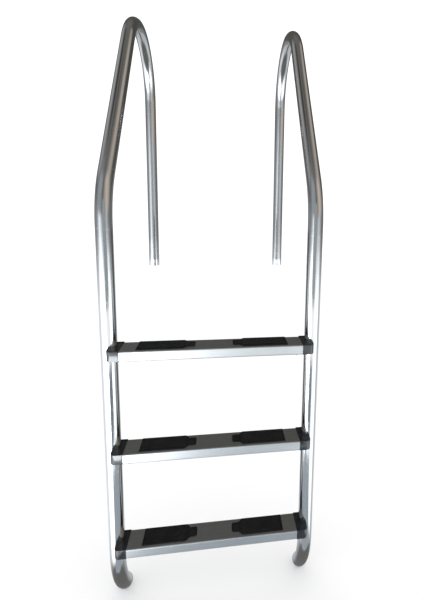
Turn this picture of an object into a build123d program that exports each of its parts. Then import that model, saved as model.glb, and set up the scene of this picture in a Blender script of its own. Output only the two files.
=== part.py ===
from build123d import *
import os

# A pool ladder: two bent stainless rails with three folded treads between them. Each tread
# ends in two moulded caps that seat on the rails and hide the bolts, and carries two
# non-slip pads. The rear legs drop into deck anchors and the feet rest on the pool wall.
#
# Millimetres. X runs across the ladder, Y from the pool towards the deck, Z up. The pieces
# are drawn with X = 0 midway between the rails, Y = 0 on the risers' axes and Z = 0 at the
# bottom tread's top face. Every piece of one side is drawn on the right and mirrored.

# Rails: one tube each, bent in an upright plane
RAIL_SPACING = 495.0
TUBE_OD = 38.1
TUBE_WALL = 1.5
FOOT_DROP = 37.0
FOOT_RADIUS = 220.0
FOOT_ANGLE = 45.0
RISER_HEIGHT = 812.0
KINK_RADIUS = 205.0
KINK_ANGLE = 34.5
HANDRAIL_LENGTH = 485.0
TOP_RADIUS = 190.0
LEG_LENGTH = 620.0

# Treads: channels folded from sheet, with a return lip along each lower edge
TREAD_NAMES = ("bottom", "middle", "top")
TREAD_PITCH = 260.0
TREAD_HEIGHT = 25.0
SHEET = 1.2
BEND_RADIUS = 3.2
LIP = 11.0

# End caps: a saddle round the rail's inner half, a jaw in front of it and a spigot that
# fits inside the tread
CAP_STRIP = 11.0
FRONT_JAW = 18.0
REAR_JAW = 6.0
JAW_REACH = 0.0
JAW_CORNER = 12.0
REAR_CORNER = 5.0
CAP_EDGE = 1.6
CAP_RISE = 0.8
STOP_LENGTH = 4.0
STOP_RISE = 2.4
SPIGOT_LENGTH = 30.0
SPANNER_POCKET = 22.0
CAP_FIT = 0.2

# Bolts: one hexagon bolt and washer through each cap into a threaded insert in the rail
BOLT_DIAMETER = 8.0
BOLT_LENGTH = 25.0
HEAD_FLATS = 13.0
HEAD_HEIGHT = 5.3
HEAD_EDGE = 0.5
WASHER_OD = 16.0
WASHER_THICKNESS = 1.6
INSERT_OD = 11.0
INSERT_LENGTH = 16.0
INSERT_FLANGE_OD = 13.0
INSERT_FLANGE = 1.0
HOLE_FIT = 0.3
THREAD_FIT = 0.1

# Cap screws: two under each tread end, through the lips into the spigot
SCREW_DIAMETER = 3.8
SCREW_LENGTH = 12.0
SCREW_HEAD_OD = 7.0
SCREW_HEAD = 2.2
SCREW_HEAD_EDGE = 0.7
SCREW_INSET = 14.0

# Pads: rubber mats with a toothed outer end and a narrow tongue at the inner end, held by
# pegs that snap through the tread
PAD_LENGTH = 136.0
PAD_THICKNESS = 2.6
PAD_END_GAP = 36.0
PAD_FRONT_GAP = 8.5
PAD_REAR_GAP = 3.0
PAD_TEETH = 4
TOOTH_DEPTH = 2.5
TONGUE_LENGTH = 18.0
TONGUE_SHOULDER = 9.0
TONGUE_INSET = 11.0
TONGUE_CORNER = 6.0
PEG_OD = 6.0
PEG_HEAD_OD = 9.0
PEG_HEAD = 1.6
PEG_COUNT = 3
PEG_INSET = 28.0

# Foot plugs: plastic caps with a hollow stem
PLUG_FLANGE = 3.0
PLUG_EDGE = 1.2
PLUG_STEM = 12.0
PLUG_WALL = 2.5
PLUG_FIT = 0.4

# How far a cutting tool runs past the face that it enters
OVERRUN = 1.0

TUBE_RADIUS = TUBE_OD / 2
TUBE_BORE = TUBE_RADIUS - TUBE_WALL
AXIS_X = RAIL_SPACING / 2
RAIL_INNER_X = AXIS_X - TUBE_RADIUS
PLATE_END_X = RAIL_INNER_X - CAP_STRIP
FRONT_Y = -(TUBE_RADIUS + FRONT_JAW)
REAR_Y = TUBE_RADIUS + REAR_JAW
TREAD_DEPTH = REAR_Y - FRONT_Y
TREAD_MID_Y = (FRONT_Y + REAR_Y) / 2
BOLT_Z = -TREAD_HEIGHT / 2
SCREW_YS = (FRONT_Y + (BEND_RADIUS + LIP) / 2, REAR_Y - (BEND_RADIUS + LIP) / 2)
SCREW_X = PLATE_END_X - SCREW_INSET
PAD_OUTER_X = PLATE_END_X - PAD_END_GAP
PAD_INNER_X = PAD_OUTER_X - PAD_LENGTH
PAD_FRONT_Y = FRONT_Y + PAD_FRONT_GAP
PAD_REAR_Y = REAR_Y - PAD_REAR_GAP
PEG_PITCH = (PAD_LENGTH - 2 * PEG_INSET) / (PEG_COUNT - 1)
PEG_XS = [PAD_INNER_X + PEG_INSET + n * PEG_PITCH for n in range(PEG_COUNT)]
TREAD_ZS = [n * TREAD_PITCH for n in range(len(TREAD_NAMES))]


def slab(low, high):
    """A box between two opposite corners."""
    size = [b - a for a, b in zip(low, high)]
    middle = [(a + b) / 2 for a, b in zip(low, high)]
    return Pos(*middle) * Box(*size)


def rod_x(radius, x_low, x_high, y=0.0, z=0.0):
    """A cylinder along X between two values of X."""
    return Pos((x_low + x_high) / 2, y, z) * Rot(0, 90, 0) * Cylinder(radius, x_high - x_low)


def rod_z(radius, z_low, z_high, x=0.0, y=0.0):
    """An upright cylinder between two values of Z."""
    return Pos(x, y, (z_low + z_high) / 2) * Cylinder(radius, z_high - z_low)


def rail_path():
    """The tube's centreline in the Y-Z plane, from the foot's end to the rear leg's end."""
    riser = Line((0, -FOOT_DROP), (0, RISER_HEIGHT))
    foot = JernArc(riser @ 0, (0, -1), FOOT_RADIUS, FOOT_ANGLE)
    kink = JernArc(riser @ 1, (0, 1), KINK_RADIUS, -KINK_ANGLE)
    slope = Line(kink @ 1, kink @ 1 + HANDRAIL_LENGTH * (kink % 1))
    top = JernArc(slope @ 1, slope % 1, TOP_RADIUS, KINK_ANGLE - 180)
    leg = Line(top @ 1, top @ 1 + LEG_LENGTH * (top % 1))
    return foot, riser, kink, slope, top, leg


def rail():
    """The right-hand rail: the tube swept along its path, with a hole in its inner wall
    for each tread's threaded insert."""
    foot, riser, kink, slope, top, leg = rail_path()
    path = Pos(AXIS_X, 0, 0) * (Plane.YZ * (foot + riser + kink + slope + top + leg))
    wire = path.wire()
    section = Plane(origin=wire @ 0, z_dir=wire % 0) * (Circle(TUBE_RADIUS) - Circle(TUBE_BORE))
    tube = sweep(section, path=wire)
    for z in TREAD_ZS:
        tube -= rod_x(INSERT_OD / 2 + THREAD_FIT, RAIL_INNER_X - OVERRUN, AXIS_X, 0, z + BOLT_Z)
    return tube


def foot_plug():
    """The right-hand foot's plug: a flange as wide as the tube and a hollow stem inside it."""
    foot = Pos(AXIS_X, 0, 0) * (Plane.YZ * rail_path()[0])
    end = Plane(origin=foot @ 1, z_dir=foot % 1)
    flange = fillet(rod_z(TUBE_RADIUS, 0, PLUG_FLANGE).edges().group_by(Axis.Z)[-1], PLUG_EDGE)
    stem_radius = TUBE_BORE - PLUG_FIT
    stem = rod_z(stem_radius, -PLUG_STEM, 0) - rod_z(stem_radius - PLUG_WALL, -PLUG_STEM, 0)
    return end * (flange + stem)


def tread():
    """One folded tread: a rounded box section with its underside open between the lips,
    the lips drilled for the cap screws and the top drilled for the pads' pegs."""
    inner = RectangleRounded(TREAD_DEPTH - 2 * SHEET, TREAD_HEIGHT - 2 * SHEET, BEND_RADIUS - SHEET)
    section = RectangleRounded(TREAD_DEPTH, TREAD_HEIGHT, BEND_RADIUS) - inner
    section -= Pos(0, -TREAD_HEIGHT / 2) * Rectangle(TREAD_DEPTH - 2 * LIP, 2 * (SHEET + OVERRUN))
    start = Plane.YZ.offset(-PLATE_END_X) * Pos(TREAD_MID_Y, -TREAD_HEIGHT / 2)
    plate = extrude(start * section, 2 * PLATE_END_X)
    lip_low, lip_high = -TREAD_HEIGHT - OVERRUN, SHEET + OVERRUN - TREAD_HEIGHT
    for side in (-1, 1):
        for y in SCREW_YS:
            plate -= rod_z(SCREW_DIAMETER / 2 + HOLE_FIT, lip_low, lip_high, side * SCREW_X, y)
        for x in PEG_XS:
            hole = PEG_OD / 2 + THREAD_FIT
            plate -= rod_z(hole, -SHEET - OVERRUN, OVERRUN, side * x, TREAD_MID_Y)
    return plate


def cap_plan():
    """The cap's outline from above: a block from the tread's end to the jaw's reach, less
    the tube's seat and the way by which the tube enters it."""
    seat = TUBE_RADIUS + CAP_FIT
    jaw_x = AXIS_X + JAW_REACH
    front = Pos((PLATE_END_X + jaw_x) / 2, FRONT_Y / 2) * Rectangle(jaw_x - PLATE_END_X, -FRONT_Y)
    rear = Pos((PLATE_END_X + AXIS_X) / 2, REAR_Y / 2) * Rectangle(AXIS_X - PLATE_END_X, REAR_Y)
    entry = Pos(AXIS_X + seat, 0) * Rectangle(2 * seat, 2 * seat)
    plan = front + rear - Pos(AXIS_X, 0) * Circle(seat) - entry
    corners = plan.vertices().group_by(Axis.Y)
    plan = fillet(corners[0].sort_by(Axis.X)[-1:], JAW_CORNER)
    return fillet(plan.vertices().group_by(Axis.Y)[-1].sort_by(Axis.X)[-1:], REAR_CORNER)


def top_rim(cap):
    """The edges round the cap's top face that lie on its front, its jaw's end and its rear."""
    rim = cap.faces().sort_by(Axis.Z)[-1].outer_wire().edges()
    seat = TUBE_RADIUS + 2 * CAP_FIT
    clear = [e for e in rim if abs((e @ 0.5).Y) > seat]
    return [e for e in clear if (e @ 0.5).X > PLATE_END_X + CAP_EDGE / 2]


def end_cap():
    """The right-hand end cap: the saddle and jaw, a raised stop at the rear edge, and a
    spigot with room for the bolt's head and a spanner."""
    cap = extrude(Plane.XY.offset(-TREAD_HEIGHT) * cap_plan(), TREAD_HEIGHT + CAP_RISE)
    cap = fillet(top_rim(cap), CAP_EDGE)
    stop_end = AXIS_X - REAR_CORNER - CAP_EDGE
    stop_rear = REAR_Y - CAP_EDGE
    cap += slab((PLATE_END_X, stop_rear - STOP_LENGTH, 0), (stop_end, stop_rear, STOP_RISE))
    skin = SHEET + CAP_FIT
    spigot_x = PLATE_END_X - SPIGOT_LENGTH
    spigot = RectangleRounded(TREAD_DEPTH - 2 * skin, TREAD_HEIGHT - 2 * skin, BEND_RADIUS - skin)
    cap += extrude(Plane.YZ.offset(spigot_x) * Pos(TREAD_MID_Y, BOLT_Z) * spigot, SPIGOT_LENGTH)
    pocket = SPANNER_POCKET / 2
    cap -= slab(
        (spigot_x - OVERRUN, -pocket, -TREAD_HEIGHT),
        (PLATE_END_X, pocket, BOLT_Z + pocket - CAP_RISE),
    )
    cap -= rod_x(BOLT_DIAMETER / 2 + HOLE_FIT, spigot_x, AXIS_X, 0, BOLT_Z)
    flange_x = RAIL_INNER_X - INSERT_FLANGE - CAP_FIT
    cap -= rod_x(INSERT_FLANGE_OD / 2 + HOLE_FIT, flange_x, AXIS_X, 0, BOLT_Z)
    for y in SCREW_YS:
        top = SCREW_LENGTH + HOLE_FIT - TREAD_HEIGHT
        cap -= rod_z(SCREW_DIAMETER / 2 + THREAD_FIT, -TREAD_HEIGHT, top, SCREW_X, y)
    return cap


def bolt():
    """The right-hand bolt, its head against the washer inside the tread."""
    seat_x = PLATE_END_X - WASHER_THICKNESS
    hexagon = RegularPolygon(HEAD_FLATS / 2, 6, major_radius=False)
    head = Plane.YZ.offset(seat_x - HEAD_HEIGHT) * Pos(0, BOLT_Z) * hexagon
    head = extrude(head, HEAD_HEIGHT)
    head = chamfer(head.faces().sort_by(Axis.X)[0].edges(), HEAD_EDGE)
    return head + rod_x(BOLT_DIAMETER / 2, seat_x, seat_x + BOLT_LENGTH, 0, BOLT_Z)


def washer():
    """The right-hand bolt's washer, flat against the cap."""
    seat_x = PLATE_END_X - WASHER_THICKNESS
    disc = rod_x(WASHER_OD / 2, seat_x, PLATE_END_X, 0, BOLT_Z)
    return disc - rod_x(BOLT_DIAMETER / 2 + HOLE_FIT, seat_x, PLATE_END_X, 0, BOLT_Z)


def insert():
    """The right-hand threaded insert, its flange outside the rail and its sleeve inside."""
    sleeve = rod_x(INSERT_OD / 2, RAIL_INNER_X, RAIL_INNER_X + INSERT_LENGTH, 0, BOLT_Z)
    flange = rod_x(INSERT_FLANGE_OD / 2, RAIL_INNER_X - INSERT_FLANGE, RAIL_INNER_X, 0, BOLT_Z)
    bore = BOLT_DIAMETER / 2 + THREAD_FIT
    length = INSERT_FLANGE + INSERT_LENGTH
    start = RAIL_INNER_X - INSERT_FLANGE
    return sleeve + flange - rod_x(bore, start, start + length, 0, BOLT_Z)


def cap_screws():
    """The two right-hand screws, their heads below the tread's lips."""
    screws = []
    for y in SCREW_YS:
        shank = rod_z(SCREW_DIAMETER / 2, -TREAD_HEIGHT, SCREW_LENGTH - TREAD_HEIGHT, SCREW_X, y)
        head = rod_z(SCREW_HEAD_OD / 2, -TREAD_HEIGHT - SCREW_HEAD, -TREAD_HEIGHT, SCREW_X, y)
        head = fillet(head.edges().group_by(Axis.Z)[0], SCREW_HEAD_EDGE)
        screws.append(shank + head)
    return screws


def pad_outline():
    """The right-hand pad from above: a straight-sided mat, toothed where it faces the rail,
    that narrows by a slanted shoulder to a round-cornered tongue."""
    tooth = (PAD_REAR_Y - PAD_FRONT_Y) / PAD_TEETH
    shoulder_x = PAD_INNER_X + TONGUE_LENGTH
    body_x = shoulder_x + TONGUE_SHOULDER
    tongue_front = PAD_FRONT_Y + TONGUE_INSET
    tongue_rear = PAD_REAR_Y - TONGUE_INSET
    teeth = []
    for n in range(PAD_TEETH):
        y = PAD_FRONT_Y + n * tooth
        valley = (PAD_OUTER_X - TOOTH_DEPTH, y + tooth)
        teeth += [(PAD_OUTER_X, y), (PAD_OUTER_X, y + tooth / 2), valley]
    teeth[-1] = (PAD_OUTER_X, PAD_REAR_Y)
    inner = [
        (body_x, PAD_REAR_Y),
        (shoulder_x, tongue_rear),
        (PAD_INNER_X, tongue_rear),
        (PAD_INNER_X, tongue_front),
        (shoulder_x, tongue_front),
        (body_x, PAD_FRONT_Y),
    ]
    outline = make_face(Polyline(*teeth, *inner, close=True))
    return fillet(outline.vertices().group_by(Axis.X)[0], TONGUE_CORNER)


def pad():
    """The right-hand pad of a tread, with its pegs."""
    mat = extrude(pad_outline(), PAD_THICKNESS)
    for x in PEG_XS:
        mat += rod_z(PEG_OD / 2, -SHEET, 0, x, TREAD_MID_Y)
        mat += rod_z(PEG_HEAD_OD / 2, -SHEET - PEG_HEAD, -SHEET, x, TREAD_MID_Y)
    return mat


def both_sides(solids):
    """The right-hand solids followed by their mirror images on the left."""
    return solids + [mirror(solid, about=Plane.YZ) for solid in solids]


def at_treads(solids):
    """The solids of one tread, repeated at each tread's height."""
    return [Pos(0, 0, z) * solid for z in TREAD_ZS for solid in solids]


def ladder():
    """Every node's solids by name, on the drawing's own axes."""
    nodes = {}
    for side, turn in (("right", False), ("left", True)):
        for name, solid in (("rail", rail()), ("foot_plug", foot_plug())):
            nodes[f"{side}_{name}"] = [mirror(solid, about=Plane.YZ) if turn else solid]
        for level, z in zip(TREAD_NAMES, TREAD_ZS):
            for name, solid in (("end_cap", end_cap()), ("pad", pad())):
                placed = mirror(solid, about=Plane.YZ) if turn else solid
                nodes[f"{level}_{side}_{name}"] = [Pos(0, 0, z) * placed]
    for level, z in zip(TREAD_NAMES, TREAD_ZS):
        nodes[f"{level}_tread"] = [Pos(0, 0, z) * tread()]
    nodes["tread_bolts"] = at_treads(both_sides([bolt()]))
    nodes["bolt_washers"] = at_treads(both_sides([washer()]))
    nodes["rail_inserts"] = at_treads(both_sides([insert()]))
    nodes["cap_screws"] = at_treads(both_sides(cap_screws()))
    return nodes


os.makedirs("parts", exist_ok=True)
nodes = ladder()
box = Compound([solid for solids in nodes.values() for solid in solids]).bounding_box()
# The origin goes to the middle of the ladder's box, at the height of its lowest point
to_origin = Pos(0, -box.center().Y, -box.min.Z)
for name, solids in nodes.items():
    placed = [to_origin * solid for solid in solids]
    export_step(placed[0] if len(placed) == 1 else Compound(placed), f"parts/{name}.step")
print("ladder box", box.size, "shift to the origin", to_origin.position)
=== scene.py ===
import math

import bmesh
import bpy
import numpy as np
from mathutils import Matrix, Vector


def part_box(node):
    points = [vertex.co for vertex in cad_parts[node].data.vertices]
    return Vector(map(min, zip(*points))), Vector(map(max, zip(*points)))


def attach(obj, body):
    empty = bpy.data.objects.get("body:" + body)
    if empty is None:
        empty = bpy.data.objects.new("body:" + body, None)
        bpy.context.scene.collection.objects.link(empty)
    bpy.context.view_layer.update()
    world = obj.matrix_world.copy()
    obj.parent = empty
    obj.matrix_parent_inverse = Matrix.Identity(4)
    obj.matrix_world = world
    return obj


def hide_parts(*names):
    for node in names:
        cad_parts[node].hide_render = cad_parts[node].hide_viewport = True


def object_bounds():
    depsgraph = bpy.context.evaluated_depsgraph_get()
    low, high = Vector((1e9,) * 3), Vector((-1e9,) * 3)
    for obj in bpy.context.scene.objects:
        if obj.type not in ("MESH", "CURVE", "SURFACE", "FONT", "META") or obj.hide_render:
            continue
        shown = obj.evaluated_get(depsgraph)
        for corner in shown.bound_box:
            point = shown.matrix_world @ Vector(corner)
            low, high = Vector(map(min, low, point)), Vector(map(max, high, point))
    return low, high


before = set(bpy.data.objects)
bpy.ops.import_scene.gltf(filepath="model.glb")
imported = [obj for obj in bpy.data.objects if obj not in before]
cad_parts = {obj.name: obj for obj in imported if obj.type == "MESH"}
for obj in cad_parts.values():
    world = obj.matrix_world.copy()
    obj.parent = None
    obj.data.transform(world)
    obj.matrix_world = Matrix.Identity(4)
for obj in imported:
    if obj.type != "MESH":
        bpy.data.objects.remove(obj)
cad_low, cad_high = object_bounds()
scene = bpy.context.scene
LEVELS = ("bottom", "middle", "top")
SIDES = (("right", 1.0), ("left", -1.0))


# ---- Viewpoint ----
# Someone standing close in front of the ladder and a little to its right, who holds the camera
# above the top tread and tips it down and slightly sideways.

EYE_ASIDE = 0.0167
EYE_BEFORE_RISERS = 0.9364
EYE_ABOVE_BOTTOM_TREAD = 0.8834
EYE_TURN = math.radians(8.97)
EYE_TILT = math.radians(-8.25)
EYE_ROLL = math.radians(1.33)
LENS = 23.301
FRAME_SHIFT = (-0.1162, -0.0787)
NEAREST_SEEN = 0.05

rail_low, rail_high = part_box("right_rail")
tube_radius = (rail_high.x - rail_low.x) / 2
riser_y = rail_low.y + tube_radius
bottom_step_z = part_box("bottom_tread")[1].z

viewer = bpy.data.objects.new("viewer", bpy.data.cameras.new("viewer"))
scene.collection.objects.link(viewer)
viewer.location = (EYE_ASIDE, riser_y - EYE_BEFORE_RISERS, bottom_step_z + EYE_ABOVE_BOTTOM_TREAD)
viewer.rotation_euler = (
    Matrix.Rotation(-EYE_TURN, 3, "Z")
    @ Matrix.Rotation(math.pi / 2 + EYE_TILT, 3, "X")
    @ Matrix.Rotation(EYE_ROLL, 3, "Z")
).to_euler()
viewer.data.lens = LENS
viewer.data.shift_x, viewer.data.shift_y = FRAME_SHIFT
viewer.data.clip_start = NEAREST_SEEN
scene.camera = viewer


# ---- Rails ----
# Each rail is one length of thin stainless tube, drawn, polished along its length and bent
# three times in an upright plane: at the foot, at the kink above the treads and over the top.

TUBE_WALL = 0.0015
RIM_EDGE = 0.0004
RIM_RINGS = 4
FOOT_DROP = 0.037
FOOT_RADIUS = 0.220
FOOT_ANGLE = math.radians(45)
KINK_RADIUS = 0.205
KINK_ANGLE = math.radians(34.5)
TOP_RADIUS = 0.190
LEG_LENGTH = 0.620
BEND_STEP = math.radians(1.5)
STRAIGHT_STEP = 0.030
TUBE_SIDES = 96


def bent_line(start, heading, runs):
    """The centreline of a tube or sheet bent in one plane, as points, headings and distances.

    Each run is (length, turn, steps). The heading h changes evenly with distance, so a step of
    length d that turns by t moves by d * sin(t/2) / (t/2) along h + t/2, and a point is the
    start plus the sum of the moves before it."""
    lengths = np.concatenate([np.full(steps, length / steps) for length, turn, steps in runs])
    turns = np.concatenate([np.full(steps, turn / steps) for length, turn, steps in runs])
    headings = heading + np.concatenate([[0.0], np.cumsum(turns)])
    middles = headings[:-1] + turns / 2
    chords = lengths * np.sinc(turns / (2 * np.pi))
    moves = chords[:, None] * np.stack([np.cos(middles), np.sin(middles)], 1)
    points = np.array(start) + np.vstack([np.zeros((1, 2)), np.cumsum(moves, axis=0)])
    return points, headings, np.concatenate([[0.0], np.cumsum(lengths)])


def grid_quads(rows, columns, close_rows=False, close_columns=False):
    """The corners of every face of a grid of points, as row and column numbers. A closed
    direction has one more row of faces, which joins its last points to its first."""
    r, c = np.meshgrid(
        np.arange(rows if close_rows else rows - 1),
        np.arange(columns if close_columns else columns - 1),
        indexing="ij",
    )
    corner_rows = np.stack([r, r, r + 1, r + 1], -1).reshape(-1, 4)
    corner_columns = np.stack([c, c + 1, c + 1, c], -1).reshape(-1, 4)
    return corner_rows, corner_columns


def build(name, points, faces, side=1.0, uv=None, smooth_angle=40.0):
    """An object from points and faces of equal or unequal size. A side of -1 mirrors it in X
    and turns its faces round, so that they still point outwards."""
    points = np.asarray(points, float).reshape(-1, 3) * (side, 1.0, 1.0)
    sizes = np.array([len(face) for face in faces])
    loops = np.concatenate([np.asarray(face) for face in faces])
    starts = np.concatenate([[0], np.cumsum(sizes)[:-1]])
    if side < 0:
        ends = np.repeat(starts + sizes - 1, sizes)
        order = ends - (np.arange(len(loops)) - np.repeat(starts, sizes))
        loops = loops[order]
        uv = uv[order] if uv is not None else None
    mesh = bpy.data.meshes.new(name)
    mesh.vertices.add(len(points))
    mesh.vertices.foreach_set("co", points.astype(np.float32).ravel())
    mesh.loops.add(len(loops))
    mesh.loops.foreach_set("vertex_index", loops.astype(np.int32))
    mesh.polygons.add(len(sizes))
    mesh.polygons.foreach_set("loop_start", starts.astype(np.int32))
    mesh.update(calc_edges=True)
    mesh.validate()
    if uv is not None:
        layer = mesh.uv_layers.new(name="UVMap")
        layer.data.foreach_set("uv", uv.astype(np.float32).ravel())
    mesh.polygons.foreach_set("use_smooth", np.ones(len(sizes), bool))
    mesh.set_sharp_from_angle(angle=math.radians(smooth_angle))
    piece = bpy.data.objects.new(name, mesh)
    scene.collection.objects.link(piece)
    return piece


def rings_in_plane(x, centres, headings, radii, sides):
    """Circles across a line in the upright plane at x: c + r * (X * cos a + N * sin a), where N
    is the heading turned by a quarter."""
    a = np.linspace(0, 2 * np.pi, sides, endpoint=False)
    along_x = x + radii[:, None] * np.cos(a)
    along_n = radii[:, None] * np.sin(a)
    return np.stack(
        [
            along_x,
            centres[:, :1] - along_n * np.sin(headings)[:, None],
            centres[:, 1:] + along_n * np.cos(headings)[:, None],
        ],
        -1,
    )


def quarter(edge, count):
    """Along and inward moves that round an edge: edge * (1 - sin a) and edge * (1 - cos a)."""
    a = np.linspace(0, np.pi / 2, count)
    return edge * (1 - np.sin(a)), edge * (1 - np.cos(a))


def bend(radius, turn):
    """The run of a bend to the right: its length, its turn and how many steps it takes."""
    return radius * turn, -turn, round(turn / BEND_STEP)


def straight(length):
    """The run of a straight length, in steps short enough for the mesh to stay even."""
    return length, 0.0, round(length / STRAIGHT_STEP)


leg_y = rail_high.y - tube_radius
apex_z = rail_high.z - tube_radius
slope_depth = (
    leg_y
    - riser_y
    - KINK_RADIUS * (1 - math.cos(KINK_ANGLE))
    - TOP_RADIUS * (1 + math.cos(KINK_ANGLE))
)
slope_length = slope_depth / math.sin(KINK_ANGLE)
riser_top = (
    apex_z
    - TOP_RADIUS * (1 - math.sin(KINK_ANGLE))
    - slope_length * math.cos(KINK_ANGLE)
    - KINK_RADIUS * math.sin(KINK_ANGLE)
)
riser_bottom = bottom_step_z - FOOT_DROP
rail_runs = [
    bend(FOOT_RADIUS, FOOT_ANGLE),
    straight(riser_top - riser_bottom),
    bend(KINK_RADIUS, KINK_ANGLE),
    straight(slope_length),
    bend(TOP_RADIUS, math.pi - KINK_ANGLE),
    straight(LEG_LENGTH),
]
foot_end = (
    riser_y + FOOT_RADIUS * (1 - math.cos(FOOT_ANGLE)),
    riser_bottom - FOOT_RADIUS * math.sin(FOOT_ANGLE),
)
rail_points, rail_headings, rail_distances = bent_line(foot_end, math.pi / 2 + FOOT_ANGLE, rail_runs)
rail_x = (rail_low.x + rail_high.x) / 2


def rail_rings():
    """The tube's rings in order: up its outside, round the leg's rim, back down its bore and
    round the foot's rim. A ring is a station of the centreline, a move along it and a radius."""
    last = len(rail_points) - 1
    along, inward = quarter(RIM_EDGE, RIM_RINGS)
    bore = tube_radius - TUBE_WALL
    stations = [
        np.arange(1, last),
        np.full(2 * RIM_RINGS, last),
        np.arange(last - 1, 0, -1),
        np.zeros(2 * RIM_RINGS, int),
    ]
    moves = [np.zeros(last - 1), -along, -along[::-1], np.zeros(last - 1), along, along[::-1]]
    radii = [
        np.full(last - 1, tube_radius),
        tube_radius - inward,
        bore + inward[::-1],
        np.full(last - 1, bore),
        bore + inward,
        tube_radius - inward[::-1],
    ]
    return np.concatenate(stations), np.concatenate(moves), np.concatenate(radii)


def rail_tube(name, side):
    """A closed tube whose UV map is metres round it and metres along it."""
    stations, moves, radii = rail_rings()
    headings = rail_headings[stations]
    forwards = np.stack([np.cos(headings), np.sin(headings)], 1)
    centres = rail_points[stations] + moves[:, None] * forwards
    points = rings_in_plane(rail_x, centres, headings, radii, TUBE_SIDES)
    rows, columns = grid_quads(len(radii), TUBE_SIDES, close_rows=True, close_columns=True)
    faces = (rows % len(radii)) * TUBE_SIDES + columns % TUBE_SIDES
    round_tube = columns * (2 * math.pi * tube_radius / TUBE_SIDES)
    along_tube = rail_distances[stations][rows % len(radii)]
    uv = np.stack([round_tube, along_tube], -1)[:, ::-1].reshape(-1, 2)
    return build(name, points, faces[:, ::-1], side, uv)


def new_group(name, inputs, outputs):
    """An empty shader node group. Inputs are (name, kind, default) and outputs (name, kind)."""
    group = bpy.data.node_groups.new(name, "ShaderNodeTree")
    for label, kind, default in inputs:
        socket = group.interface.new_socket(label, in_out="INPUT", socket_type="NodeSocket" + kind)
        if default is not None:
            socket.default_value = default
    for label, kind in outputs:
        group.interface.new_socket(label, in_out="OUTPUT", socket_type="NodeSocket" + kind)
    return group, group.nodes.new("NodeGroupInput"), group.nodes.new("NodeGroupOutput")


def put(tree, kind, settings=None, **values):
    """A node of this kind. Settings are its own options. A value goes to the input of that name,
    and a socket is linked to it; in_0, in_1 and so on name inputs by number."""
    node = tree.nodes.new("ShaderNode" + kind)
    for label, value in (settings or {}).items():
        setattr(node, label, value)
    for label, value in values.items():
        key = int(label[3:]) if label.startswith("in_") else label.replace("_", " ")
        if isinstance(value, bpy.types.NodeSocket):
            tree.links.new(value, node.inputs[key])
        else:
            node.inputs[key].default_value = value
    return node


def mix_colours(tree, factor, first, second):
    """The colour between first and second."""
    node = put(tree, "Mix", {"data_type": "RGBA"}, in_0=factor, in_6=first, in_7=second)
    return node.outputs[2]


def spread(tree, value, source, target=(0.0, 1.0)):
    """A value moved from the source range to the target range, and kept inside it."""
    limits = {"in_1": source[0], "in_2": source[1], "in_3": target[0], "in_4": target[1]}
    return put(tree, "MapRange", None, in_0=value, **limits).outputs[0]


def maths(tree, operation, first, second):
    """One arithmetic operation on two values."""
    return put(tree, "Math", {"operation": operation}, in_0=first, in_1=second).outputs[0]


def plus_share(tree, value, mask, share):
    """A value with a share of a mask added to it."""
    return maths(tree, "ADD", value, maths(tree, "MULTIPLY", mask, share))


def noise(tree, vector, scale, detail, **values):
    """Noise over a vector, which runs from 0 to 1 and keeps mostly between 0.3 and 0.7."""
    return put(tree, "TexNoise", None, Vector=vector, Scale=scale, Detail=detail, **values).outputs["Fac"]


def bump_normal(tree, height, strength, distance, **values):
    """A normal tipped by the slope of a height."""
    return put(tree, "Bump", None, Height=height, Strength=strength, Distance=distance, **values).outputs[0]


def new_finish(name):
    """A material with its Principled shader, ready for nodes. Gives (material, tree, shader)."""
    material = bpy.data.materials.new(name)
    material.use_nodes = True
    return material, material.node_tree, material.node_tree.nodes["Principled BSDF"]


NOISE_RANGE = (0.3, 0.7)
FILM_PATCHES = (0.42, 0.72)
DROP_RIM_INSIDE = (0.10, 0.17)
DROP_RIM_OUTSIDE = (0.26, 0.19)
DROPS_KEPT = (0.62, 0.70)


def finish_surface(tree, shader, colour, roughness, normal):
    """Links what changes over a surface to its shader."""
    tree.links.new(colour, shader.inputs["Base Color"])
    tree.links.new(roughness, shader.inputs["Roughness"])
    tree.links.new(normal, shader.inputs["Normal"])


def polish_lines_group():
    """Fine lines left by a belt or brush: noise drawn out along the second axis of the vector,
    at two widths. Height is for a bump and Tone is a slow change from streak to streak."""
    group, inside, out = new_group(
        "polish_lines",
        [("Vector", "Vector", None), ("Across", "Float", 1500.0), ("Along", "Float", 6.0)],
        [("Height", "Float"), ("Tone", "Float")],
    )
    parts = put(group, "SeparateXYZ", None, Vector=inside.outputs["Vector"])
    across = maths(group, "MULTIPLY", parts.outputs["X"], inside.outputs["Across"])
    depth = maths(group, "MULTIPLY", parts.outputs["Z"], inside.outputs["Across"])
    along = maths(group, "MULTIPLY", parts.outputs["Y"], inside.outputs["Along"])
    drawn = put(group, "CombineXYZ", None, X=across, Y=along, Z=depth)
    fine = noise(group, drawn.outputs[0], 1.0, 3.0, Roughness=0.65)
    streaks = noise(group, drawn.outputs[0], 0.13, 2.0, Roughness=0.5)
    group.links.new(fine, out.inputs["Height"])
    group.links.new(spread(group, streaks, NOISE_RANGE), out.inputs["Tone"])
    return group


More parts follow.
